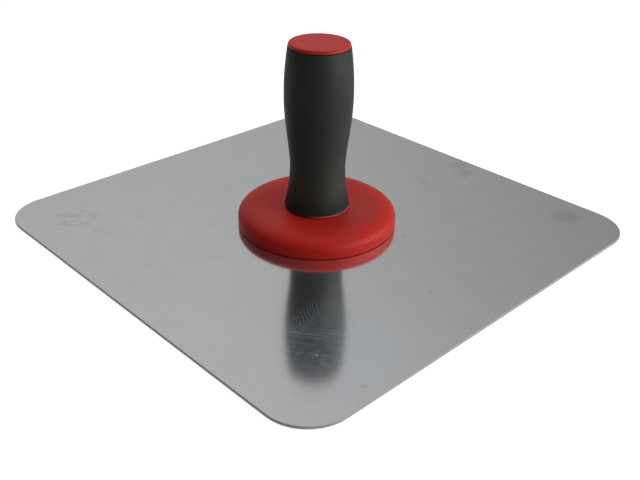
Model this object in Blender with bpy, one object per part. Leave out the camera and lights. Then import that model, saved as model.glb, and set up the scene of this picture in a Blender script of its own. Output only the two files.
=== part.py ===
"""Mortar hawk: a square aluminium blade with a soft-grip handle that screws onto a stud.

The blade's mortar face lies on z = 0 and the handle rises along +Z. Every length is in metres.
"""

import math

import bmesh
import bpy

MM = 0.001
GAP = 0.3 * MM  # clearance left between pieces that touch

# Blade: square sheet with rounded corners and lightly broken edges.
BLADE_SIDE = 330 * MM
BLADE_THICKNESS = 2 * MM
BLADE_CORNER_RADIUS = 30 * MM
BLADE_EDGE_BREAK = 0.3 * MM
CORNER_STEPS = 12

# Mounting flange: cast disc and boss that carry the stud.
FLANGE_BOTTOM = BLADE_THICKNESS + GAP
FLANGE_RADIUS = 37 * MM
FLANGE_DISC_TOP = 5 * MM
FLANGE_FILLET = 3 * MM
BOSS_RADIUS = 15 * MM
BOSS_TOP = 15 * MM
BOSS_EDGE = 0.8 * MM
FLANGE_BORE_RADIUS = 7.35 * MM
HEX_POCKET_TOP = 7.9 * MM
HEX_POCKET_FLATS = 21.6 * MM

# Rivets: flush countersunk heads in the blade, formed heads on the flange.
RIVET_CIRCLE_RADIUS = 28 * MM
RIVET_SHANK_RADIUS = 2 * MM
RIVET_HEAD_RADIUS = 4 * MM
RIVET_BUTTON_RADIUS = 3.6 * MM
RIVET_BUTTON_HEIGHT = 1.3 * MM

# Stud: hexagon-head bolt with an M14 x 2 right-hand thread.
HEX_FLATS = 21 * MM
STUD_HEAD_BOTTOM = 2.6 * MM
STUD_HEAD_TOP = 7.6 * MM
STUD_SHANK_RADIUS = 7.05 * MM
STUD_THREAD_START = 16 * MM
STUD_TOP = 32.6 * MM
THREAD_PITCH = 2 * MM
THREAD_MAJOR_RADIUS = 7 * MM
THREAD_DEPTH = 1.2 * MM
THREAD_CREST = 0.25 * MM
THREAD_FLANK_ANGLE = math.radians(30)
THREAD_CLEARANCE = 0.15 * MM
THREAD_STEPS = 24

# Comfort pad: round cushion that rests on the blade round the boss, pressed down by the handle's foot.
PAD_RADIUS = 57.2 * MM
PAD_TOP = 15 * MM
PAD_CROWN = 16.2 * MM
PAD_DISH_RADIUS = 25 * MM
PAD_CROWN_RADIUS = 42 * MM
PAD_ROLL_WIDTH = 13 * MM
PAD_ROLL_HEIGHT = 8 * MM
PAD_FOOT_ROUND = 0.6 * MM
PAD_HOLE_RADIUS = 15.6 * MM
PAD_RECESS_RADIUS = 37.8 * MM
PAD_RECESS_TOP = 7 * MM

# Thrust washer, held in a recess of the handle's foot.
WASHER_INNER_RADIUS = 7.5 * MM
WASHER_OUTER_RADIUS = 13.4 * MM
WASHER_THICKNESS = 1.2 * MM

# Handle: hard core, soft sleeve, hexagon nut and end cap.
HANDLE_BOTTOM = 15.3 * MM
HANDLE_TOP = 132.2 * MM
NECK_Z = 46.8 * MM
NECK_RADIUS = 19.65 * MM
BASE_FLARE = 4.12  # per metre: radius gained below the neck over distance squared
BULGE_Z = 98.6 * MM
BULGE_RADIUS = 23.9 * MM
SWELL_POWER = 0.85  # under 1 fills out the grip just above the neck
TOP_TAPER = 2.25  # per metre: radius lost above the bulge over distance squared
SLEEVE_THICKNESS = 3 * MM
SLEEVE_FOOT_ROUND = 1.2 * MM
SLEEVE_TOP_ROUND = 0.3 * MM
CORE_BORE_RADIUS = 12.6 * MM
CORE_FLOOR_BOTTOM = 16.8 * MM
CORE_FLOOR_TOP = 18.6 * MM
CORE_POCKET_TOP = 33.2 * MM
WASHER_RECESS_RADIUS = 14 * MM
STUD_HOLE_RADIUS = 7.4 * MM
SNAP_GROOVE_RADIUS = 13.6 * MM
SNAP_GROOVE_Z = (123 * MM, 126 * MM)
RIDGE_WIDTH = 3 * MM
RIDGE_HEIGHT = 1 * MM
RIDGE_Z = (20 * MM, 126 * MM)
RIDGE_ROOT_RADIUS = 14 * MM
NUT_BOTTOM = 18.9 * MM
NUT_TOP = 32.9 * MM

CAP_TOP = 135 * MM
CAP_INSET = 0.1 * MM
CAP_EDGE = 1.5 * MM
CAP_WALL = 2.4 * MM
SPIGOT_RADIUS = 12.3 * MM
SPIGOT_INNER_RADIUS = 10.3 * MM
SPIGOT_BOTTOM = 119.5 * MM
SPIGOT_BEAD_RADIUS = 13.1 * MM
SLIT_WIDTH = 2 * MM
SLIT_TOP = 130 * MM

# Facets along the grip and round each turned piece.
SLEEVE_STEPS = 18
CORE_STEPS = 10
PAD_SEGMENTS = 64
ROUND_SEGMENTS = 40
SMALL_SEGMENTS = 16


def clear_scene():
    for obj in list(bpy.data.objects):
        bpy.data.objects.remove(obj, do_unlink=True)


def paint(obj, colour, metallic, roughness):
    material = bpy.data.materials.new(obj.name)
    material.use_nodes = True
    shader = material.node_tree.nodes["Principled BSDF"]
    shader.inputs["Base Color"].default_value = (*colour, 1)
    shader.inputs["Metallic"].default_value = metallic
    shader.inputs["Roughness"].default_value = roughness
    obj.data.materials.append(material)


def finish(name, bm):
    """Turns the working mesh into an object with outward faces and smooth round surfaces."""
    bmesh.ops.recalc_face_normals(bm, faces=bm.faces)
    mesh = bpy.data.meshes.new(name)
    bm.to_mesh(mesh)
    bm.free()
    mesh.shade_smooth()
    mesh.set_sharp_from_angle(angle=math.radians(35))
    obj = bpy.data.objects.new(name, mesh)
    bpy.context.scene.collection.objects.link(obj)
    return obj


def arc(radius, z, size, start, end, steps=5):
    """Points of a corner rounding centred on (radius, z), from one angle to another in degrees."""
    points = []
    for step in range(steps + 1):
        angle = math.radians(start + (end - start) * step / steps)
        points.append((radius + size * math.cos(angle), z + size * math.sin(angle)))
    return points


def lathe(name, section, segments, centre=(0, 0)):
    """A solid turned about a vertical axis from the (radius, z) points round its section."""
    bm = bmesh.new()
    rings = []
    for radius, z in section:
        if radius == 0:
            rings.append([bm.verts.new((*centre, z))] * segments)
            continue
        ring = []
        for step in range(segments):
            angle = math.tau * step / segments
            x = centre[0] + radius * math.cos(angle)
            y = centre[1] + radius * math.sin(angle)
            ring.append(bm.verts.new((x, y, z)))
        rings.append(ring)
    for ring, following in zip(rings, rings[1:] + rings[:1]):
        for step in range(segments):
            turn = (step + 1) % segments
            corners = [ring[step], ring[turn], following[turn], following[step]]
            corners = list(dict.fromkeys(corners))
            if len(corners) > 2:
                bm.faces.new(corners)
    return finish(name, bm)


def add_prism(bm, outline, bottom, top):
    lower = [bm.verts.new((x, y, bottom)) for x, y in outline]
    upper = [bm.verts.new((x, y, top)) for x, y in outline]
    bm.faces.new(lower)
    bm.faces.new(upper)
    for index, start in enumerate(lower):
        end = (index + 1) % len(outline)
        bm.faces.new([start, lower[end], upper[end], upper[index]])


def prism(name, outline, bottom, top):
    bm = bmesh.new()
    add_prism(bm, outline, bottom, top)
    return finish(name, bm)


def spokes(name, inner, outer, width, bottom, top):
    """Four upright bars round the axis, a quarter turn apart."""
    bm = bmesh.new()
    half = width / 2
    for x, y in ((1, 0), (0, 1), (-1, 0), (0, -1)):
        outline = []
        for reach, side in ((inner, -half), (outer, -half), (outer, half), (inner, half)):
            outline.append((x * reach - y * side, y * reach + x * side))
        add_prism(bm, outline, bottom, top)
    return finish(name, bm)


def combine(target, operation, tool):
    """Adds a Boolean to the target and keeps its tool out of the finished part."""
    modifier = target.modifiers.new(tool.name, "BOOLEAN")
    modifier.operation = operation
    modifier.solver = "EXACT"
    modifier.object = tool
    tool.hide_render = True
    tool.display_type = "WIRE"


def hexagon(flats):
    radius = flats / math.sqrt(3)
    angles = [math.radians(60 * side) for side in range(6)]
    return [(radius * math.cos(angle), radius * math.sin(angle)) for angle in angles]


def chamfered_hexagon(name, flats, bottom, top):
    """A hexagon whose corners are turned off at both ends, as on a bolt head or a nut."""
    flat_radius = flats / 2
    corner_radius = flats / math.sqrt(3) + GAP
    fall = (corner_radius - flat_radius) * math.tan(math.radians(30))
    body = prism(name, hexagon(flats), bottom, top)
    section = [
        (0, bottom - GAP),
        (flat_radius - GAP, bottom - GAP),
        (corner_radius, bottom + fall),
        (corner_radius, top - fall),
        (flat_radius - GAP, top + GAP),
        (0, top + GAP),
    ]
    combine(body, "INTERSECT", lathe("turning_" + name, section, SMALL_SEGMENTS))
    return body


def thread_form(name, bottom, top, growth):
    """A right-hand screw thread with its core, grown all over by the given clearance."""
    major = THREAD_MAJOR_RADIUS + growth
    minor = major - THREAD_DEPTH
    flank = THREAD_DEPTH * math.tan(THREAD_FLANK_ANGLE)
    widening = 2 * growth * (1 / math.cos(THREAD_FLANK_ANGLE) - math.tan(THREAD_FLANK_ANGLE))
    crest = THREAD_CREST + widening
    ridge_start = -crest / 2 - flank
    section = [
        (minor, ridge_start),
        (major, -crest / 2),
        (major, crest / 2),
        (minor, -ridge_start),
    ]
    first = math.floor(bottom / THREAD_PITCH) * THREAD_STEPS
    last = (math.ceil(top / THREAD_PITCH) + 1) * THREAD_STEPS
    bm = bmesh.new()
    columns = []
    for step in range(first, last + 1):
        angle = math.tau * step / THREAD_STEPS
        lift = THREAD_PITCH * step / THREAD_STEPS
        column = []
        for radius, offset in section:
            x = radius * math.cos(angle)
            y = radius * math.sin(angle)
            column.append(bm.verts.new((x, y, lift + offset)))
        columns.append(column)
    for column, following in zip(columns, columns[1:]):
        for point in range(3):
            bm.faces.new([column[point], following[point], following[point + 1], column[point + 1]])
    for index in range(len(columns) - 1 - THREAD_STEPS):
        start, end = columns[index], columns[index + 1]
        start_above, end_above = columns[index + THREAD_STEPS], columns[index + 1 + THREAD_STEPS]
        bm.faces.new([start[3], end[3], end_above[0], start_above[0]])
    first_turn = columns[: THREAD_STEPS + 1]
    last_turn = columns[-THREAD_STEPS - 1 :]
    close_spiral(bm, [column[0] for column in first_turn] + columns[0][:0:-1])
    close_spiral(bm, [column[3] for column in last_turn] + columns[-1][2::-1])
    bmesh.ops.triangulate(bm, faces=bm.faces)
    return finish(name, bm)


def close_spiral(bm, loop):
    """Closes one end of the screw form with triangles that meet on its axis."""
    height = sum(vert.co.z for vert in loop) / len(loop)
    centre = bm.verts.new((0, 0, height))
    for start, end in zip(loop, loop[1:] + loop[:1]):
        bm.faces.new([start, end, centre])


def grip_radius(z):
    """Outer radius of the grip: flared foot, waisted neck, full upper part."""
    if z < NECK_Z:
        return NECK_RADIUS + BASE_FLARE * (NECK_Z - z) ** 2
    if z < BULGE_Z:
        share = ((z - NECK_Z) / (BULGE_Z - NECK_Z)) ** SWELL_POWER
        swell = (1 - math.cos(math.pi * share)) / 2
        return NECK_RADIUS + (BULGE_RADIUS - NECK_RADIUS) * swell
    return BULGE_RADIUS - TOP_TAPER * (z - BULGE_Z) ** 2


def grip_curve(inset, bottom, top, steps=CORE_STEPS):
    """Points up the grip at the given depth below its surface."""
    points = []
    for step in range(steps + 1):
        z = bottom + (top - bottom) * step / steps
        points.append((grip_radius(z) - inset, z))
    return points


def grip_ridges(name, width, inset, ends):
    """Four long ridges that end at a set depth below the surface of the grip."""
    bottom, top = ends
    bars = spokes(name, RIDGE_ROOT_RADIUS, 2 * RIDGE_ROOT_RADIUS, width, bottom, top)
    curve = grip_curve(inset, bottom - GAP, top + GAP)
    section = [(0, curve[0][1])] + curve + [(0, curve[-1][1])]
    combine(bars, "INTERSECT", lathe("envelope_" + name, section, ROUND_SEGMENTS))
    return bars


def rivet_centres():
    centres = []
    for corner in range(4):
        angle = math.radians(45 + 90 * corner)
        centres.append((RIVET_CIRCLE_RADIUS * math.cos(angle), RIVET_CIRCLE_RADIUS * math.sin(angle)))
    return centres


def make_blade():
    outline = []
    inset = BLADE_SIDE / 2 - BLADE_CORNER_RADIUS
    for corner, (x, y) in enumerate(((1, 1), (-1, 1), (-1, -1), (1, -1))):
        start = 90 * corner
        outline += arc(x * inset, y * inset, BLADE_CORNER_RADIUS, start, start + 90, CORNER_STEPS)
    blade = prism("blade", outline, 0, BLADE_THICKNESS)
    bevel = blade.modifiers.new("edge_break", "BEVEL")
    bevel.width = BLADE_EDGE_BREAK
    bevel.segments = 2
    bevel.limit_method = "ANGLE"
    bevel.angle_limit = math.radians(60)
    for number, centre in enumerate(rivet_centres(), 1):
        slope = (RIVET_HEAD_RADIUS - RIVET_SHANK_RADIUS) / BLADE_THICKNESS
        section = [
            (0, -GAP),
            (RIVET_HEAD_RADIUS + GAP + slope * GAP, -GAP),
            (RIVET_SHANK_RADIUS + GAP - slope * GAP, BLADE_THICKNESS + GAP),
            (0, BLADE_THICKNESS + GAP),
        ]
        combine(blade, "DIFFERENCE", lathe(f"countersink_{number}", section, SMALL_SEGMENTS, centre))
    paint(blade, (0.66, 0.67, 0.68), 1, 0.35)


def make_rivet(number, centre):
    button_bottom = FLANGE_DISC_TOP + GAP
    button_top = button_bottom + RIVET_BUTTON_HEIGHT
    shoulder = button_bottom + 0.3 * RIVET_BUTTON_HEIGHT
    section = [
        (0, 0),
        (RIVET_HEAD_RADIUS, 0),
        (RIVET_SHANK_RADIUS, BLADE_THICKNESS),
        (RIVET_SHANK_RADIUS, button_bottom),
        (RIVET_BUTTON_RADIUS, button_bottom),
        (RIVET_BUTTON_RADIUS, shoulder),
        (0.8 * RIVET_BUTTON_RADIUS, 0.4 * shoulder + 0.6 * button_top),
        (0.45 * RIVET_BUTTON_RADIUS, button_top),
        (0, button_top),
    ]
    paint(lathe(f"rivet_{number}", section, SMALL_SEGMENTS, centre), (0.7, 0.71, 0.72), 1, 0.3)


def make_flange():
    disc_edge = 1 * MM
    fillet_radius = BOSS_RADIUS + FLANGE_FILLET
    section = [(FLANGE_BORE_RADIUS, FLANGE_BOTTOM), (FLANGE_RADIUS, FLANGE_BOTTOM)]
    section += arc(FLANGE_RADIUS - disc_edge, FLANGE_DISC_TOP - disc_edge, disc_edge, 0, 90, 3)
    section += arc(fillet_radius, FLANGE_DISC_TOP + FLANGE_FILLET, FLANGE_FILLET, 270, 180, 4)
    section += arc(BOSS_RADIUS - BOSS_EDGE, BOSS_TOP - BOSS_EDGE, BOSS_EDGE, 0, 90, 3)
    section += [(FLANGE_BORE_RADIUS, BOSS_TOP)]
    flange = lathe("mounting_flange", section, ROUND_SEGMENTS)
    pocket = prism("flange_pocket", hexagon(HEX_POCKET_FLATS), FLANGE_BOTTOM - GAP, HEX_POCKET_TOP)
    combine(flange, "DIFFERENCE", pocket)
    for number, centre in enumerate(rivet_centres(), 1):
        radius = RIVET_SHANK_RADIUS + GAP
        section = [(0, 0), (radius, 0), (radius, 2 * FLANGE_DISC_TOP), (0, 2 * FLANGE_DISC_TOP)]
        combine(flange, "DIFFERENCE", lathe(f"flange_hole_{number}", section, SMALL_SEGMENTS, centre))
    paint(flange, (0.5, 0.51, 0.52), 1, 0.5)


def make_stud():
    stud = chamfered_hexagon("stud_bolt", HEX_FLATS, STUD_HEAD_BOTTOM, STUD_HEAD_TOP)
    middle = (STUD_HEAD_BOTTOM + STUD_HEAD_TOP) / 2
    shank = [
        (0, middle),
        (STUD_SHANK_RADIUS, middle),
        (STUD_SHANK_RADIUS, STUD_THREAD_START),
        (0, STUD_THREAD_START),
    ]
    combine(stud, "UNION", lathe("stud_shank", shank, THREAD_STEPS))
    start = STUD_THREAD_START - GAP
    thread = thread_form("stud_thread", start, STUD_TOP, 0)
    reach = THREAD_MAJOR_RADIUS + GAP
    envelope = [
        (0, start),
        (reach, start),
        (reach, STUD_TOP - THREAD_DEPTH - GAP),
        (reach - THREAD_DEPTH - GAP, STUD_TOP),
        (0, STUD_TOP),
    ]
    combine(thread, "INTERSECT", lathe("stud_envelope", envelope, ROUND_SEGMENTS))
    combine(stud, "UNION", thread)
    paint(stud, (0.62, 0.6, 0.55), 1, 0.32)


def pad_shoulder(steps):
    """Points from the pad's dish up to its crown, then over its broad outer roll."""
    points = []
    for step in range(steps + 1):
        share = step / steps
        radius = PAD_DISH_RADIUS + (PAD_CROWN_RADIUS - PAD_DISH_RADIUS) * share
        points.append((radius, PAD_TOP + (PAD_CROWN - PAD_TOP) * (1 - math.cos(math.pi * share)) / 2))
    roll_radius = PAD_RADIUS - PAD_ROLL_WIDTH
    roll_z = PAD_CROWN - PAD_ROLL_HEIGHT
    for step in range(steps + 1):
        angle = math.pi / 2 * (1 - step / steps)
        point = (roll_radius + PAD_ROLL_WIDTH * math.cos(angle), roll_z + PAD_ROLL_HEIGHT * math.sin(angle))
        points.append(point)
    return points


def make_pad():
    hole_edge = 1 * MM
    bottom = BLADE_THICKNESS + GAP
    section = arc(PAD_HOLE_RADIUS + hole_edge, PAD_TOP - hole_edge, hole_edge, 180, 90, 3)
    section += pad_shoulder(7)
    section += arc(PAD_RADIUS - PAD_FOOT_ROUND, bottom + PAD_FOOT_ROUND, PAD_FOOT_ROUND, 0, -90, 2)
    section += [
        (PAD_RECESS_RADIUS, bottom),
        (PAD_RECESS_RADIUS, PAD_RECESS_TOP),
        (PAD_HOLE_RADIUS, PAD_RECESS_TOP),
    ]
    paint(lathe("comfort_pad", section, PAD_SEGMENTS), (0.36, 0.035, 0.027), 0, 0.5)


def make_washer():
    top = HANDLE_BOTTOM + WASHER_THICKNESS
    section = [
        (WASHER_INNER_RADIUS, HANDLE_BOTTOM),
        (WASHER_OUTER_RADIUS, HANDLE_BOTTOM),
        (WASHER_OUTER_RADIUS, top),
        (WASHER_INNER_RADIUS, top),
    ]
    paint(lathe("thrust_washer", section, ROUND_SEGMENTS), (0.6, 0.6, 0.6), 1, 0.3)


def make_nut():
    nut = chamfered_hexagon("handle_nut", HEX_FLATS, NUT_BOTTOM, NUT_TOP)
    ends = NUT_BOTTOM - THREAD_PITCH, NUT_TOP + THREAD_PITCH
    thread = thread_form("nut_thread", *ends, THREAD_CLEARANCE)
    combine(nut, "DIFFERENCE", thread)
    outer = THREAD_MAJOR_RADIUS + 2 * GAP
    inner = outer - THREAD_DEPTH - 2 * GAP
    fall = outer - inner
    lead = [
        (0, NUT_BOTTOM - GAP),
        (outer + GAP, NUT_BOTTOM - GAP),
        (inner, NUT_BOTTOM + fall),
        (0, NUT_BOTTOM + fall),
    ]
    combine(nut, "DIFFERENCE", lathe("nut_lead", lead, THREAD_STEPS))
    paint(nut, (0.62, 0.6, 0.55), 1, 0.32)


def make_core():
    groove_bottom, groove_top = SNAP_GROOVE_Z
    depth = SNAP_GROOVE_RADIUS - CORE_BORE_RADIUS
    section = [
        (WASHER_RECESS_RADIUS, HANDLE_BOTTOM),
        (WASHER_RECESS_RADIUS, CORE_FLOOR_BOTTOM),
        (STUD_HOLE_RADIUS, CORE_FLOOR_BOTTOM),
        (STUD_HOLE_RADIUS, CORE_POCKET_TOP),
        (CORE_BORE_RADIUS, CORE_POCKET_TOP),
        (CORE_BORE_RADIUS, groove_bottom),
        (SNAP_GROOVE_RADIUS, groove_bottom + depth),
        (SNAP_GROOVE_RADIUS, groove_top - depth),
        (CORE_BORE_RADIUS, groove_top),
        (CORE_BORE_RADIUS, HANDLE_TOP),
    ]
    section += grip_curve(SLEEVE_THICKNESS + GAP, HANDLE_BOTTOM, HANDLE_TOP)[::-1]
    core = lathe("handle_core", section, ROUND_SEGMENTS)
    pocket_top = CORE_POCKET_TOP + GAP
    pocket = prism("core_pocket", hexagon(HEX_POCKET_FLATS), CORE_FLOOR_TOP, pocket_top)
    combine(core, "DIFFERENCE", pocket)
    inset = SLEEVE_THICKNESS + GAP - RIDGE_HEIGHT
    combine(core, "UNION", grip_ridges("core_ridges", RIDGE_WIDTH, inset, RIDGE_Z))
    paint(core, (0.03, 0.03, 0.032), 0, 0.5)


def make_sleeve():
    foot = HANDLE_BOTTOM + SLEEVE_FOOT_ROUND
    head = HANDLE_TOP - SLEEVE_TOP_ROUND
    foot_radius = grip_radius(foot) - SLEEVE_FOOT_ROUND
    head_radius = grip_radius(head) - SLEEVE_TOP_ROUND
    section = arc(foot_radius, foot, SLEEVE_FOOT_ROUND, -90, 0, 3)
    section += grip_curve(0, foot, head, SLEEVE_STEPS)[1:-1]
    section += arc(head_radius, head, SLEEVE_TOP_ROUND, 0, 90, 3)
    section += grip_curve(SLEEVE_THICKNESS, HANDLE_BOTTOM, HANDLE_TOP)[::-1]
    sleeve = lathe("grip_sleeve", section, ROUND_SEGMENTS)
    inset = SLEEVE_THICKNESS - RIDGE_HEIGHT
    ends = (RIDGE_Z[0] - GAP, RIDGE_Z[1] + GAP)
    combine(sleeve, "DIFFERENCE", grip_ridges("sleeve_grooves", RIDGE_WIDTH + 2 * GAP, inset, ends))
    paint(sleeve, (0.018, 0.019, 0.018), 0, 0.6)


def make_cap():
    rim_bottom = HANDLE_TOP + GAP
    rim_top = CAP_TOP - CAP_EDGE
    break_edge = 0.3 * MM
    rim_radius = grip_radius(rim_bottom + break_edge) - CAP_INSET
    top_radius = grip_radius(rim_top) - CAP_INSET
    bead_middle = sum(SNAP_GROOVE_Z) / 2
    section = [(0, CAP_TOP)]
    section += arc(top_radius - CAP_EDGE, rim_top, CAP_EDGE, 90, 0, 4)
    section += [
        (rim_radius, rim_bottom + break_edge),
        (rim_radius - break_edge, rim_bottom),
        (SPIGOT_RADIUS, rim_bottom),
        (SPIGOT_RADIUS, bead_middle + 1.2 * MM),
        (SPIGOT_BEAD_RADIUS, bead_middle + 0.4 * MM),
        (SPIGOT_BEAD_RADIUS, bead_middle - 0.4 * MM),
        (SPIGOT_RADIUS, bead_middle - 1.2 * MM),
        (SPIGOT_RADIUS, SPIGOT_BOTTOM + break_edge),
        (SPIGOT_RADIUS - break_edge, SPIGOT_BOTTOM),
        (SPIGOT_INNER_RADIUS, SPIGOT_BOTTOM),
        (SPIGOT_INNER_RADIUS, CAP_TOP - CAP_WALL),
        (0, CAP_TOP - CAP_WALL),
    ]
    cap = lathe("end_cap", section, ROUND_SEGMENTS)
    inner, outer = SPIGOT_INNER_RADIUS - MM, SPIGOT_BEAD_RADIUS + MM
    slits = spokes("cap_slits", inner, outer, SLIT_WIDTH, SPIGOT_BOTTOM - MM, SLIT_TOP)
    combine(cap, "DIFFERENCE", slits)
    paint(cap, (0.42, 0.062, 0.05), 0, 0.45)


def main():
    clear_scene()
    make_blade()
    make_flange()
    make_stud()
    for number, centre in enumerate(rivet_centres(), 1):
        make_rivet(number, centre)
    make_pad()
    make_washer()
    make_nut()
    make_core()
    make_sleeve()
    make_cap()


main()
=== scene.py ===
"""Looks of the mortar hawk: mill-finish blade, soft red pad, soft-touch grip and red end cap."""

import math

import bmesh
import bpy
from mathutils import Matrix, Vector


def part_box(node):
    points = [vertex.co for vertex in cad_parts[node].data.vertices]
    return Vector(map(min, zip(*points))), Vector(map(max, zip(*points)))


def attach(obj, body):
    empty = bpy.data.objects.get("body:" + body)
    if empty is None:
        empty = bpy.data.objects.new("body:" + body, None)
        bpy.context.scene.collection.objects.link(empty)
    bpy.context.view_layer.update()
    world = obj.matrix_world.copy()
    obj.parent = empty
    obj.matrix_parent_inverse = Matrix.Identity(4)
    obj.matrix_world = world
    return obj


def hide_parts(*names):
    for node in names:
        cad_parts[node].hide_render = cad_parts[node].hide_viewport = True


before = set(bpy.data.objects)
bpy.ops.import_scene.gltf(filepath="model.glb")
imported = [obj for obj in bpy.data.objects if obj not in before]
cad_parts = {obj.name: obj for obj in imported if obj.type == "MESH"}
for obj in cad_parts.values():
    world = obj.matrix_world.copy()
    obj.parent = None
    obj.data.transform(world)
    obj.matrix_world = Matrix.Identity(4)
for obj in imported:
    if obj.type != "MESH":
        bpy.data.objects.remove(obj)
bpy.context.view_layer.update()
MM = 0.001

# Camera: where it stands, where it looks and its small roll.
CAMERA_TARGET = Vector((23.03, -18.69, 2.0)) * MM
CAMERA_DISTANCE = 598.11 * MM
CAMERA_AZIMUTH = math.radians(45.77)
CAMERA_ELEVATION = math.radians(29.79)
CAMERA_ROLL = math.radians(1.08)
CAMERA_LENS = 47.80

# Lamps: a broad soft key from the right and a bluish one overhead.
KEY_SIZE = (1.8, 0.9)
KEY_POWER = 13.5
KEY_PLACE = Vector((1.28, 0.66, 0.40))
KEY_AIM = Vector((0, 0, 0.05))
KEY_COLOUR = (1, 1, 1)
TOP_SIZE = (1.4, 1.4)
TOP_POWER = 5.6
TOP_PLACE = Vector((0, 0, 1.6))
TOP_AIM = Vector((0, 0, 0))
TOP_COLOUR = (0.72, 0.97, 1.22)

# Surroundings: how bright the grey walls and the floor are.
WALL_LEFT, WALL_RIGHT = 0.47, 0.275
WALL_RISE = 0.055  # a wall is this much darker low down and brighter high up
FAR_LEFT_SHADE = 0.36
FAR_RIGHT_GLOW = 0.22
FRONT_SHADE = 0.18
FLOOR_GLOW = 0.28
PAPER_SIZE = 8  # half the side of the floor, metres
PAPER_DROP = 0.2 * MM  # the floor lies this far under the blade
PAPER_GREY = (0.8, 0.8, 0.8, 1)
PAPER_GLOW = 0.72

# Marks on the blade, each as x, y, radius in metres and strength.
STAINS = [
    (-0.129, -0.133, 0.0075, 0.30),
    (-0.117, -0.137, 0.0070, 0.26),
    (-0.122, -0.127, 0.0065, 0.26),
    (-0.126, -0.118, 0.0040, 0.26),
    (-0.110, -0.129, 0.0050, 0.20),
]
DARK_SPOTS = [
    (0.120, 0.142, 0.0145, 0.27),
    (0.010, 0.155, 0.0120, 0.22),
    (0.022, 0.147, 0.0110, 0.20),
    (0.026, 0.140, 0.0060, 0.20),
    (-0.115, -0.117, 0.0060, 0.15),
    (-0.094, -0.126, 0.0050, 0.11),
    (0.0127, 0.107, 0.0060, 0.16),
    (0.005, 0.111, 0.0070, 0.07),
    (0.1545, -0.111, 0.0028, 0.25),
    (0.060, 0.0285, 0.0026, 0.30),
    (0.118, -0.012, 0.0026, 0.24),
    (-0.069, -0.089, 0.005, 0.07),
    (-0.090, -0.091, 0.005, 0.07),
    (-0.107, -0.046, 0.007, 0.05),
    (-0.008, -0.088, 0.006, 0.05),
    (-0.031, -0.124, 0.007, 0.05),
]
BRIGHT_SPOTS = [
    (0.1173, -0.1114, 0.0013, 1.0),
    (0.0733, -0.0947, 0.0009, 0.6),
    (0.1090, -0.1190, 0.0007, 0.6),
]
WARM_CORNERS = [
    (-0.155, -0.150, 0.026, 1.0),
    (0.158, 0.150, 0.026, 1.0),
]
STAIN_RAGGED = 0.010  # how far outlines wander, metres
SPOT_RAGGED = 0.007

# Blade's face.
BLADE_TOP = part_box("blade")[1].z
BLADE_BOW = -0.042  # per metre: slope of the slightly dished face
BLADE_POLISH = 0.962
BLADE_ROUGHNESS = 0.112
EDGE_ROUGHNESS = 0.35
DEPTH_STRETCH = 60  # keeps marks on the upper face, since depth counts this many times

# Row of curved buffing strokes across the face, in front of the handle.
ROW_START = (0.0815, -0.080)
ROW_WAY = (0.17, -0.985)
ROW_ACROSS = (0.985, 0.17)
ROW_CENTRE, ROW_RADIUS = (0.085, -0.085), 0.08
ROW_MIDDLE = 0.009  # metres along the row
ROW_ENDS = (0.038, 0.015)  # from nothing to full, metres from its middle
ROW_EDGES = (0.0115, 0.005)  # from nothing to full, metres from its centre line
ROW_BEND_START, ROW_BEND = 0.012, 20  # metres along the row, and per metre
STROKE_PITCH = 0.0029
STROKE_LEAN = 0.92
STROKE_CURVE = 70  # per metre
STROKE_WOBBLE, STROKE_RAGGED = 0.006, 0.005
STROKE_DEPTH, STROKE_BASE = 0.06, 0.02

# Haze and fine scratches beside that row.
HAZE_CENTRE, HAZE_RADIUS = (0.118, -0.098), 0.075
HAZE_RISE = (-0.004, 0.010, 0, 0.065)  # from and to, metres beside the row; depth there
HAZE_FURTHER_RISE = (0.010, 0.05, 0, 0.06)
CLOUD_CENTRE, CLOUD_RADIUS, CLOUD_DEPTH = (0.089, -0.105), 0.018, 0.045
SCRATCH_CENTRE, SCRATCH_RADIUS, SCRATCH_DEPTH = (0.107, -0.103), 0.050, 0.08
SCRATCH_ANGLE = math.radians(-36)
SCRATCH_STRETCH = (11, 560, 1)
SPECK_DEPTH = 0.3

# Colours, linear; each pair is mixed by a soft mottle.
SHEET_COLOURS = (0.805, 0.812, 0.82, 1), (0.87, 0.875, 0.882, 1)
SHEET_MOTTLE = (0.66, 0.67, 0.69, 1)
SHEET_GRAIN = (0.66, 0.66, 0.66, 1)
WARM_COLOUR = (0.84, 0.815, 0.74, 1)
STAIN_COLOUR = (0.42, 0.37, 0.30, 1)
SPOT_COLOUR = (0.38, 0.38, 0.385, 1)
SPECK_COLOUR = (1, 1, 1, 1)
# grey of the dulled film; its blue tint is painted cool light from above
VEIL_AND_SKY_TINT = (0.72, 0.84, 0.96, 1)
EDGE_COLOUR = (0.57, 0.57, 0.55, 1)
PAD_COLOURS = (0.70, 0.0195, 0.0095, 1), (0.78, 0.024, 0.0115, 1)
SLEEVE_COLOURS = (0.0165, 0.0225, 0.0165, 1), (0.0225, 0.0290, 0.0225, 1)
SLEEVE_LIGHTER = (0.047, 0.051, 0.042, 1)
# painted shade: the colour the grip darkens to near its foot
SLEEVE_PAINTED_SHADE = (0, 0, 0, 1)
# tan of the foot's rounded edge: partly wear, partly a painted highlight with the pad's red reflected
# in it
SLEEVE_WORN_HIGHLIGHT = (0.42, 0.27, 0.20, 1)
HIGHLIGHT_WAY = (0.7, 0.7)  # the foot's worn edge carries its painted highlight on this side, towards the key lamp
CAP_COLOURS = (0.755, 0.027, 0.015, 1), (0.89, 0.033, 0.019, 1)
# painted shade on the cap's side
CAP_SIDE_SHADE = (0.20, 0.020, 0.010, 1)
CORE_COLOURS = (0.022, 0.022, 0.024, 1), (0.035, 0.035, 0.037, 1)
STEEL_COLOUR = (0.62, 0.6, 0.55, 1)
CAST_COLOUR = (0.5, 0.51, 0.52, 1)
RIVET_COLOUR = (0.72, 0.73, 0.74, 1)
GRAIN_DEPTH = 0.0002  # metres

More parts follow.
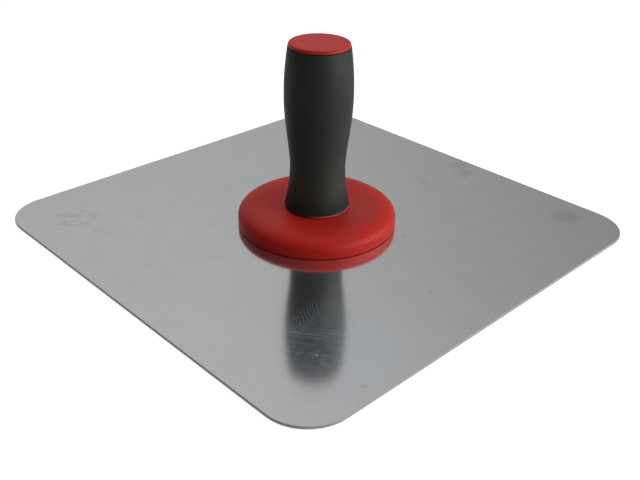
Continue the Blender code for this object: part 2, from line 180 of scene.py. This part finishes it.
# Pad's section.
PAD_HOLE = 15.6 * MM
PAD_LIP = 1 * MM  # rounding of the hole's upper edge
PAD_RECESS, PAD_RECESS_TOP = 37.8 * MM, 7 * MM
PAD_DISH, PAD_DISH_TOP = 25 * MM, 15 * MM
PAD_CROWN_RADIUS = 42 * MM
PAD_ROLL_WIDTH, PAD_ROLL_HEIGHT = 13 * MM, 8 * MM
PAD_FOOT_ROUND = 0.6 * MM
PAD_STEPS, PAD_SEGMENTS = 16, 192

# Grip's outline.
NECK_Z, BULGE_Z = 46.8 * MM, 98.6 * MM
NECK_RADIUS, BULGE_RADIUS = 19.65 * MM, 23.9 * MM
SWELL_POWER = 0.85  # under 1 fills out the grip just above the neck
FOOT_FLARE, HEAD_TAPER = 4.12, 2.25  # per metre
SLEEVE_FOOT_ROUND, SLEEVE_HEAD_ROUND = 1.2 * MM, 0.3 * MM
SLEEVE_WALL = 2 * MM
SLEEVE_STEPS, SLEEVE_INNER_STEPS, SLEEVE_SEGMENTS = 96, 24, 160

# Bands of the sleeve's skin, from their upper to their lower height above its foot: a lighter band,
# painted shade near the foot, the foot's worn edge with its painted highlight, and a duller band.
LIGHTER_BAND = (85 * MM, 30 * MM)
PAINTED_SHADE_BAND = (18 * MM, 3 * MM)
WORN_HIGHLIGHT_BAND = (2.1 * MM, 1.2 * MM)
DULL_BAND = (22 * MM, 4 * MM)


# ---------------------------------------------------------------- node helpers


def node(tree, kind, inputs=None, **settings):
    """Adds a shader node, sets or links its inputs, and returns its outputs."""
    made = tree.nodes.new("ShaderNode" + kind)
    for name, value in settings.items():
        setattr(made, name, value)
    for key, value in (inputs or {}).items():
        if isinstance(value, bpy.types.NodeSocket):
            tree.links.new(value, made.inputs[key])
        else:
            made.inputs[key].default_value = value
    return made.outputs


def maths(tree, operation, *values):
    return node(tree, "Math", dict(enumerate(values)), operation=operation)[0]


def plus(tree, first, *others):
    for other in others:
        first = maths(tree, "ADD", first, other)
    return first


def times(tree, first, *others):
    for other in others:
        first = maths(tree, "MULTIPLY", first, other)
    return first


def vectors(tree, operation, first, second=(0, 0, 0)):
    return node(tree, "VectorMath", {0: first, 1: second}, operation=operation)


def ramp(tree, value, low, high, start=0.0, end=1.0, kind="SMOOTHSTEP"):
    """Maps value from low..high to start..end, along a smooth step unless kind says otherwise."""
    inputs = {"Value": value, "From Min": low, "From Max": high, "To Min": start, "To Max": end}
    return node(tree, "MapRange", inputs, interpolation_type=kind)["Result"]


def blend_colours(tree, amount, first, second):
    inputs = {0: amount, 6: first, 7: second}
    return node(tree, "Mix", inputs, data_type="RGBA")[2]


def noise(tree, place, scale, detail=2.0, roughness=0.5):
    inputs = {"Vector": place, "Scale": scale, "Detail": detail, "Roughness": roughness}
    return node(tree, "TexNoise", inputs)["Fac"]


def stretched(tree, place, angle, scale):
    """Turns the pattern about Z and stretches it, so that noise becomes streaks."""
    turned = node(tree, "VectorRotate", {"Vector": place, "Angle": angle}, rotation_type="Z_AXIS")
    return vectors(tree, "MULTIPLY", turned[0], scale)[0]


def height_of(tree, vector):
    return node(tree, "SeparateXYZ", {0: vector})[2]


def new_material(name):
    material = bpy.data.materials.new(name)
    material.use_nodes = True
    tree = material.node_tree
    shader = tree.nodes["Principled BSDF"]
    place = node(tree, "TexCoord")["Object"]
    return material, tree, shader, place


def connect(tree, shader, **sockets):
    for name, value in sockets.items():
        tree.links.new(value, shader.inputs[name.replace("_", " ")])


def bump(tree, height, strength):
    inputs = {"Height": height, "Strength": strength, "Distance": GRAIN_DEPTH}
    return node(tree, "Bump", inputs)["Normal"]


# ---------------------------------------------------------------- materials


def near(tree, place, centre, radius, softness=0.5):
    """1 inside a round spot of the blade's upper face, fading to 0 at its radius."""
    deep = vectors(tree, "MULTIPLY", place, (1, 1, DEPTH_STRETCH))[0]
    spot = (*centre, DEPTH_STRETCH * BLADE_TOP)
    far = vectors(tree, "DISTANCE", deep, spot)["Value"]
    return ramp(tree, far, radius, radius * (1 - softness))


def ragged(tree, place, reach):
    """The place pushed about within the face, so that round spots get uneven outlines."""
    pattern = node(tree, "TexNoise", {"Vector": place, "Scale": 140, "Detail": 3})["Color"]
    push = vectors(tree, "SUBTRACT", pattern, (0.5, 0.5, 0.5))[0]
    push = vectors(tree, "MULTIPLY", push, (reach, reach, 0))[0]
    return vectors(tree, "ADD", place, push)[0]


def spots(tree, place, places, softness):
    """The strongest of several round spots, each given as x, y, radius and strength."""
    mask = 0.0
    for x, y, radius, strength in places:
        spot = times(tree, near(tree, place, (x, y), radius, softness), strength)
        mask = maths(tree, "MAXIMUM", mask, spot)
    return mask


def along(tree, place, origin, direction):
    """Distance from the origin along a direction of the blade's face."""
    offset = vectors(tree, "SUBTRACT", place, (*origin, 0))[0]
    return vectors(tree, "DOT_PRODUCT", offset, (*direction, 0))["Value"]


def buffing_marks(tree, place, run, side):
    """A row of short curved strokes left across the face by a buffing wheel, as a depth of haze."""
    bend = maths(tree, "MAXIMUM", maths(tree, "SUBTRACT", run, ROW_BEND_START), 0)
    side = maths(tree, "SUBTRACT", side, times(tree, bend, bend, ROW_BEND))
    lean = times(tree, side, STROKE_LEAN)
    curve = times(tree, side, side, STROKE_CURVE)
    wobble = times(tree, noise(tree, place, 90, 1), STROKE_WOBBLE)
    phase = plus(tree, maths(tree, "SUBTRACT", run, lean), plus(tree, curve, wobble))
    wave = maths(tree, "SINE", times(tree, phase, math.tau / STROKE_PITCH))
    edge = times(tree, noise(tree, place, 220, 1), STROKE_RAGGED)
    band = ramp(tree, plus(tree, maths(tree, "ABSOLUTE", side), edge), *ROW_EDGES)
    middle = maths(tree, "ABSOLUTE", maths(tree, "SUBTRACT", run, ROW_MIDDLE))
    band = times(tree, band, ramp(tree, middle, *ROW_ENDS))
    patchy = ramp(tree, noise(tree, place, 110, 2), 0.35, 0.6, 0.45, 1.0)
    depth = plus(tree, times(tree, wave, patchy, STROKE_DEPTH), STROKE_BASE)
    return times(tree, depth, band, near(tree, place, ROW_CENTRE, ROW_RADIUS))


def blade_haze(tree, place, bright):
    """How far the rolled finish is dulled: a hazy patch with fine scratches and buffing marks."""
    run = along(tree, place, ROW_START, ROW_WAY)
    side = along(tree, place, ROW_START, ROW_ACROSS)
    streaks = noise(tree, stretched(tree, place, SCRATCH_ANGLE, SCRATCH_STRETCH), 1, 3, 0.6)
    few = noise(tree, place, 22, 1)
    scratches = times(tree, ramp(tree, streaks, 0.50, 0.64), ramp(tree, few, 0.28, 0.46))
    scratches = times(tree, scratches, near(tree, place, SCRATCH_CENTRE, SCRATCH_RADIUS))
    patch = near(tree, place, HAZE_CENTRE, HAZE_RADIUS, 0.75)
    depth = plus(tree, ramp(tree, side, *HAZE_RISE), ramp(tree, side, *HAZE_FURTHER_RISE))
    haze = plus(tree, depth, times(tree, scratches, SCRATCH_DEPTH))
    haze = times(tree, haze, patch)
    cloud = times(tree, near(tree, place, CLOUD_CENTRE, CLOUD_RADIUS, 1.0), CLOUD_DEPTH)
    haze = plus(tree, haze, cloud)
    uneven = ramp(tree, noise(tree, place, 240, 3, 0.6), 0.3, 0.7, 0.7, 1.3)
    haze = times(tree, haze, uneven)
    haze = plus(tree, haze, buffing_marks(tree, place, run, side))
    haze = plus(tree, haze, times(tree, bright, SPECK_DEPTH))
    return maths(tree, "MAXIMUM", haze, 0.0)


def sheet_colour(tree, place, fine):
    """The clean rolled sheet: soft clouds, a mottle and a fine grain."""
    mottle = ramp(tree, noise(tree, place, 55, 4, 0.65), 0.3, 0.7, 0.0, 0.14)
    grain = ramp(tree, fine, 0.35, 0.65, 0.0, 0.08)
    colour = blend_colours(tree, noise(tree, place, 9, 3), *SHEET_COLOURS)
    colour = blend_colours(tree, mottle, colour, SHEET_MOTTLE)
    return blend_colours(tree, grain, colour, SHEET_GRAIN)


def bowed_normal(tree, place, normal):
    """The flat face's normal leaning inwards, as if the blade were slightly dished."""
    bow = vectors(tree, "MULTIPLY", place, (BLADE_BOW, BLADE_BOW, 0))[0]
    leaning = vectors(tree, "ADD", normal, bow)[0]
    return vectors(tree, "NORMALIZE", leaning)[0]


def blade_material():
    material, tree, shader, place = new_material("blade_sheet")
    fine = noise(tree, place, 420, 2)
    stain = spots(tree, ragged(tree, place, STAIN_RAGGED), STAINS, 0.6)
    stain = times(tree, stain, ramp(tree, noise(tree, place, 260, 2), 0.3, 0.6))
    warm = times(tree, spots(tree, place, WARM_CORNERS, 1.0), 0.5)
    dark = spots(tree, ragged(tree, place, SPOT_RAGGED), DARK_SPOTS, 0.7)
    bright = spots(tree, place, BRIGHT_SPOTS, 0.8)
    haze = blade_haze(tree, place, bright)
    veil = ramp(tree, haze, 0.0, 0.2, 0.0, 0.2)
    colour = sheet_colour(tree, place, fine)
    layers = [
        (warm, WARM_COLOUR),
        (stain, STAIN_COLOUR),
        (dark, SPOT_COLOUR),
        (bright, SPECK_COLOUR),
        # dulled film, tinted blue by painted cool light
        (veil, VEIL_AND_SKY_TINT),
    ]
    for amount, layer in layers:
        colour = blend_colours(tree, amount, colour, layer)
    normal = node(tree, "NewGeometry")["Normal"]
    upright = maths(tree, "ABSOLUTE", height_of(tree, normal))
    face = ramp(tree, upright, 0.9, 0.99)  # 0 on the sheared edge
    colour = blend_colours(tree, face, EDGE_COLOUR, colour)
    polish = times(tree, maths(tree, "SUBTRACT", BLADE_POLISH, haze), face)
    rough = plus(tree, BLADE_ROUGHNESS, times(tree, fine, 0.02))
    rough = plus(tree, rough, times(tree, stain, 0.1))
    rough = plus(tree, rough, ramp(tree, face, 0, 1, EDGE_ROUGHNESS, 0))
    bowed = bowed_normal(tree, place, normal)
    connect(tree, shader, Base_Color=colour, Metallic=polish, Roughness=rough, Normal=bowed)
    return material


def pad_material():
    material, tree, shader, place = new_material("pad_skin")
    mottle = noise(tree, place, 45, 3)
    grain = bump(tree, noise(tree, place, 1400, 2), 0.12)
    colour = blend_colours(tree, mottle, *PAD_COLOURS)
    rough = ramp(tree, mottle, 0.3, 0.7, 0.42, 0.5)
    connect(tree, shader, Base_Color=colour, Roughness=rough, Normal=grain)
    shader.inputs["Specular IOR Level"].default_value = 0.35
    return material


def sleeve_material():
    """Soft-touch skin: lighter below the bulge, painted shade near the foot, and a worn foot edge
    carrying a painted highlight.
    """
    material, tree, shader, place = new_material("sleeve_skin")
    mottle = noise(tree, place, 60, 3)
    grain = bump(tree, noise(tree, place, 1600, 2), 0.2)
    height = height_of(tree, place)
    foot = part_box("grip_sleeve")[0].z

    def band(heights, start=0.0, end=1.0):
        upper, lower = heights
        return ramp(tree, height, foot + upper, foot + lower, start, end)

    lighter = band(LIGHTER_BAND, 0.0, 0.45)
    # painted shade, darkening the grip towards its foot
    painted_shade = band(PAINTED_SHADE_BAND, 0.0, 0.45)
    # worn foot edge with a painted highlight, strongest on the side facing the key lamp
    worn_highlight = band(WORN_HIGHLIGHT_BAND)
    across = along(tree, place, (0, 0), HIGHLIGHT_WAY)
    worn_highlight = times(tree, worn_highlight, ramp(tree, across, -0.012, 0.010, 0.1, 1.0))
    colour = blend_colours(tree, mottle, *SLEEVE_COLOURS)
    colour = blend_colours(tree, lighter, colour, SLEEVE_LIGHTER)
    # painted shade near the foot
    colour = blend_colours(tree, painted_shade, colour, SLEEVE_PAINTED_SHADE)
    # painted highlight on the worn foot edge
    colour = blend_colours(tree, times(tree, worn_highlight, 0.85), colour, SLEEVE_WORN_HIGHLIGHT)
    rough = ramp(tree, mottle, 0.3, 0.7, 0.5, 0.6)
    rough = plus(tree, rough, band(DULL_BAND, 0.0, 0.25))
    connect(tree, shader, Base_Color=colour, Roughness=rough, Normal=grain)
    return material


def cap_material():
    material, tree, shader, place = new_material("cap_plastic")
    grain = bump(tree, noise(tree, place, 1500, 2), 0.25)
    upright = height_of(tree, node(tree, "NewGeometry")["Normal"])
    colour = blend_colours(tree, noise(tree, place, 80, 3), *CAP_COLOURS)
    # painted shade: the cap's side is darker than its top
    colour = blend_colours(tree, ramp(tree, upright, 0.8, 0.2, 0.0, 0.35), colour, CAP_SIDE_SHADE)
    connect(tree, shader, Base_Color=colour, Normal=grain)
    shader.inputs["Roughness"].default_value = 0.42
    shader.inputs["Specular IOR Level"].default_value = 0.38
    return material


def metal_material(name, colour, roughness, scale):
    """Plain metal with a fine uneven surface, for the flange and the fixings."""
    material, tree, shader, place = new_material(name)
    patches = noise(tree, place, scale, 4, 0.6)
    darker = tuple(0.75 * part for part in colour[:3]) + (1,)
    tint = blend_colours(tree, patches, darker, colour)
    rough = ramp(tree, patches, 0.3, 0.7, roughness - 0.08, roughness + 0.08)
    connect(tree, shader, Base_Color=tint, Roughness=rough, Normal=bump(tree, patches, 0.2))
    shader.inputs["Metallic"].default_value = 1
    return material


def core_material():
    material, tree, shader, place = new_material("core_plastic")
    mottle = noise(tree, place, 200, 3)
    colour = blend_colours(tree, mottle, *CORE_COLOURS)
    connect(tree, shader, Base_Color=colour, Normal=bump(tree, mottle, 0.15))
    shader.inputs["Roughness"].default_value = 0.45
    return material


# ---------------------------------------------------------------- shapes


def arc(radius, z, size, start, end, steps):
    """Points of a corner rounding centred on (radius, z), from one angle to another in degrees."""
    points = []
    for step in range(steps + 1):
        angle = math.radians(start + (end - start) * step / steps)
        points.append((radius + size * math.cos(angle), z + size * math.sin(angle)))
    return points


def turned(name, section, segments):
    """A smooth solid of revolution about Z from the (radius, z) points round its section."""
    bm = bmesh.new()
    angles = [math.tau * step / segments for step in range(segments)]
    rings = []
    for radius, z in section:
        places = [(radius * math.cos(angle), radius * math.sin(angle), z) for angle in angles]
        rings.append([bm.verts.new(place) for place in places])
    for ring, following in zip(rings, rings[1:] + rings[:1]):
        for step in range(segments):
            turn = (step + 1) % segments
            bm.faces.new([ring[step], ring[turn], following[turn], following[step]])
    bmesh.ops.recalc_face_normals(bm, faces=bm.faces)
    mesh = bpy.data.meshes.new(name)
    bm.to_mesh(mesh)
    bm.free()
    mesh.shade_smooth()
    mesh.set_sharp_from_angle(angle=math.radians(40))
    obj = bpy.data.objects.new(name, mesh)
    bpy.context.scene.collection.objects.link(obj)
    return obj


def dress(piece, body, cad_node, material):
    """Puts a piece in a CAD node's place, on its body."""
    piece.data.materials.append(material)
    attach(piece, body)
    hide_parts(cad_node)


def pad_section():
    """Half section of the cushion: dished under the handle's foot, crowned, with a broad outer roll."""
    low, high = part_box("comfort_pad")
    radius, bottom, crown = high.x, low.z, high.z
    roll_bottom, foot_top = crown - PAD_ROLL_HEIGHT, bottom + PAD_FOOT_ROUND
    section = arc(PAD_HOLE + PAD_LIP, PAD_DISH_TOP - PAD_LIP, PAD_LIP, 180, 90, 4)
    section += [(PAD_HOLE + 4 * MM, PAD_DISH_TOP), (PAD_DISH - 2 * MM, PAD_DISH_TOP)]
    for step in range(PAD_STEPS + 1):
        share = step / PAD_STEPS
        rise = (1 - math.cos(math.pi * share)) / 2
        out = PAD_DISH + (PAD_CROWN_RADIUS - PAD_DISH) * share
        section.append((out, PAD_DISH_TOP + (crown - PAD_DISH_TOP) * rise))
    for step in range(PAD_STEPS + 1):
        angle = math.pi / 2 * (1 - step / PAD_STEPS)
        out = radius - PAD_ROLL_WIDTH + PAD_ROLL_WIDTH * math.cos(angle)
        section.append((out, crown - PAD_ROLL_HEIGHT + PAD_ROLL_HEIGHT * math.sin(angle)))
    section += [(radius, foot_top + (roll_bottom - foot_top) * share) for share in (0.67, 0.33)]
    section += arc(radius - PAD_FOOT_ROUND, foot_top, PAD_FOOT_ROUND, 0, -90, 6)
    section += [(PAD_RECESS, bottom), (PAD_RECESS, PAD_RECESS_TOP), (PAD_HOLE, PAD_RECESS_TOP)]
    return section


def make_pad():
    pad = turned("pad_cushion", pad_section(), PAD_SEGMENTS)
    dress(pad, "blade", "comfort_pad", pad_material())


def grip_radius(z):
    """Outer radius of the grip: flared foot, waisted neck, full upper part."""
    if z < NECK_Z:
        return NECK_RADIUS + FOOT_FLARE * (NECK_Z - z) ** 2
    if z < BULGE_Z:
        share = ((z - NECK_Z) / (BULGE_Z - NECK_Z)) ** SWELL_POWER
        return NECK_RADIUS + (BULGE_RADIUS - NECK_RADIUS) * (1 - math.cos(math.pi * share)) / 2
    return BULGE_RADIUS - HEAD_TAPER * (z - BULGE_Z) ** 2


def sleeve_section():
    """Half section of the sleeve: rounded foot, outline of the grip, rounded head, inner wall."""
    bottom, top = (corner.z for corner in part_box("grip_sleeve"))
    foot, head = SLEEVE_FOOT_ROUND, SLEEVE_HEAD_ROUND
    section = arc(grip_radius(bottom + foot) - foot, bottom + foot, foot, -90, 0, 5)
    for step in range(1, SLEEVE_STEPS):
        z = bottom + foot + (top - head - bottom - foot) * step / SLEEVE_STEPS
        section.append((grip_radius(z), z))
    section += arc(grip_radius(top - head) - head, top - head, head, 0, 90, 5)
    for step in range(SLEEVE_INNER_STEPS + 1):
        z = top + (bottom - top) * step / SLEEVE_INNER_STEPS
        section.append((grip_radius(z) - SLEEVE_WALL, z))
    return section


def make_sleeve():
    sleeve = turned("grip_skin", sleeve_section(), SLEEVE_SEGMENTS)
    dress(sleeve, "handle", "grip_sleeve", sleeve_material())


def paint_nodes():
    """Gives the CAD nodes that are shown as built their finishes."""
    steel = metal_material("zinc_plate", STEEL_COLOUR, 0.32, 300)
    rivet = metal_material("rivet_aluminium", RIVET_COLOUR, 0.3, 400)
    looks = {
        "blade": blade_material(),
        "end_cap": cap_material(),
        "handle_core": core_material(),
        "mounting_flange": metal_material("cast_aluminium", CAST_COLOUR, 0.5, 500),
        "stud_bolt": steel,
        "thrust_washer": steel,
        "handle_nut": steel,
        "rivet_1": rivet,
        "rivet_2": rivet,
        "rivet_3": rivet,
        "rivet_4": rivet,
    }
    for name, material in looks.items():
        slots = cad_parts[name].data.materials
        slots.clear()
        slots.append(material)


# ---------------------------------------------------------------- stage


def make_floor():
    """White paper under the blade, seen by the camera only."""
    mesh = bpy.data.meshes.new("floor")
    size = PAPER_SIZE
    corners = [(-size, -size, 0), (size, -size, 0), (size, size, 0), (-size, size, 0)]
    mesh.from_pydata(corners, [], [(0, 1, 2, 3)])
    floor = bpy.data.objects.new("floor", mesh)
    floor.location.z = -PAPER_DROP
    bpy.context.scene.collection.objects.link(floor)
    material, _, shader, _ = new_material("floor_paper")
    settings = {
        "Base Color": PAPER_GREY,
        "Roughness": 1,
        "Specular IOR Level": 0,
        "Emission Color": (1, 1, 1, 1),
        "Emission Strength": PAPER_GLOW,
    }
    for name, value in settings.items():
        shader.inputs[name].default_value = value
    mesh.materials.append(material)
    floor.visible_diffuse = False
    floor.visible_glossy = False


def make_world():
    """Grey studio surroundings: brightest behind on the left, dark on the camera's side."""
    world = bpy.data.worlds.new("studio")
    bpy.context.scene.world = world
    world.use_nodes = True
    tree = world.node_tree
    direction = node(tree, "TexCoord")["Generated"]
    right = (math.cos(CAMERA_AZIMUTH), math.sin(CAMERA_AZIMUTH), 0)
    front = (math.sin(CAMERA_AZIMUTH), -math.cos(CAMERA_AZIMUTH), 0)
    across = vectors(tree, "DOT_PRODUCT", direction, right)["Value"]
    ahead = vectors(tree, "DOT_PRODUCT", direction, front)["Value"]
    height = height_of(tree, direction)
    wall = ramp(tree, across, -0.2, 0.45, WALL_LEFT, WALL_RIGHT)
    wall = plus(tree, wall, ramp(tree, height, 0.3, 0.7, -WALL_RISE, WALL_RISE, "LINEAR"))
    wall = times(tree, wall, ramp(tree, across, -0.8, -0.5, FAR_LEFT_SHADE, 1.0))
    wall = plus(tree, wall, ramp(tree, across, 0.5, 0.85, 0.0, FAR_RIGHT_GLOW))
    wall = times(tree, wall, ramp(tree, ahead, -0.45, 0.2, 1.0, FRONT_SHADE))
    light = plus(tree, wall, ramp(tree, height, 0.0, -0.1, 0.0, FLOOR_GLOW))
    background = tree.nodes["Background"]
    tree.links.new(light, background.inputs["Strength"])
    background.inputs["Color"].default_value = (1, 1, 1, 1)


def make_light(name, place, aim, size, power, colour):
    lamp = bpy.data.lights.new(name, "AREA")
    lamp.color = colour
    lamp.shape = "RECTANGLE"
    lamp.size, lamp.size_y = size
    lamp.energy = power
    obj = bpy.data.objects.new(name, lamp)
    obj.location = place
    obj.rotation_mode = "QUATERNION"
    obj.rotation_quaternion = (aim - place).to_track_quat("-Z", "Y")
    bpy.context.scene.collection.objects.link(obj)
    return obj


def make_camera():
    level_x, level_y = math.sin(CAMERA_AZIMUTH), -math.cos(CAMERA_AZIMUTH)
    out, rise = math.cos(CAMERA_ELEVATION), math.sin(CAMERA_ELEVATION)
    back = Vector((level_x * out, level_y * out, rise))
    level = Vector((0, 0, 1)).cross(back).normalized()
    up = back.cross(level)
    right = level * math.cos(CAMERA_ROLL) + up * math.sin(CAMERA_ROLL)
    up = back.cross(right)
    camera = bpy.data.objects.new("camera", bpy.data.cameras.new("camera"))
    camera.data.lens = CAMERA_LENS
    camera.data.sensor_width = 36
    camera.data.clip_start = 0.01
    place = CAMERA_TARGET + back * CAMERA_DISTANCE
    camera.matrix_world = Matrix.Translation(place) @ Matrix((right, up, back)).transposed().to_4x4()
    bpy.context.scene.collection.objects.link(camera)
    bpy.context.scene.camera = camera


make_camera()
make_floor()
make_world()
make_light("key", KEY_PLACE, KEY_AIM, KEY_SIZE, KEY_POWER, KEY_COLOUR)
overhead = make_light("overhead", TOP_PLACE, TOP_AIM, TOP_SIZE, TOP_POWER, TOP_COLOUR)
overhead.visible_glossy = False
paint_nodes()
make_pad()
make_sleeve()
bpy.context.scene.view_settings.view_transform = "Standard"
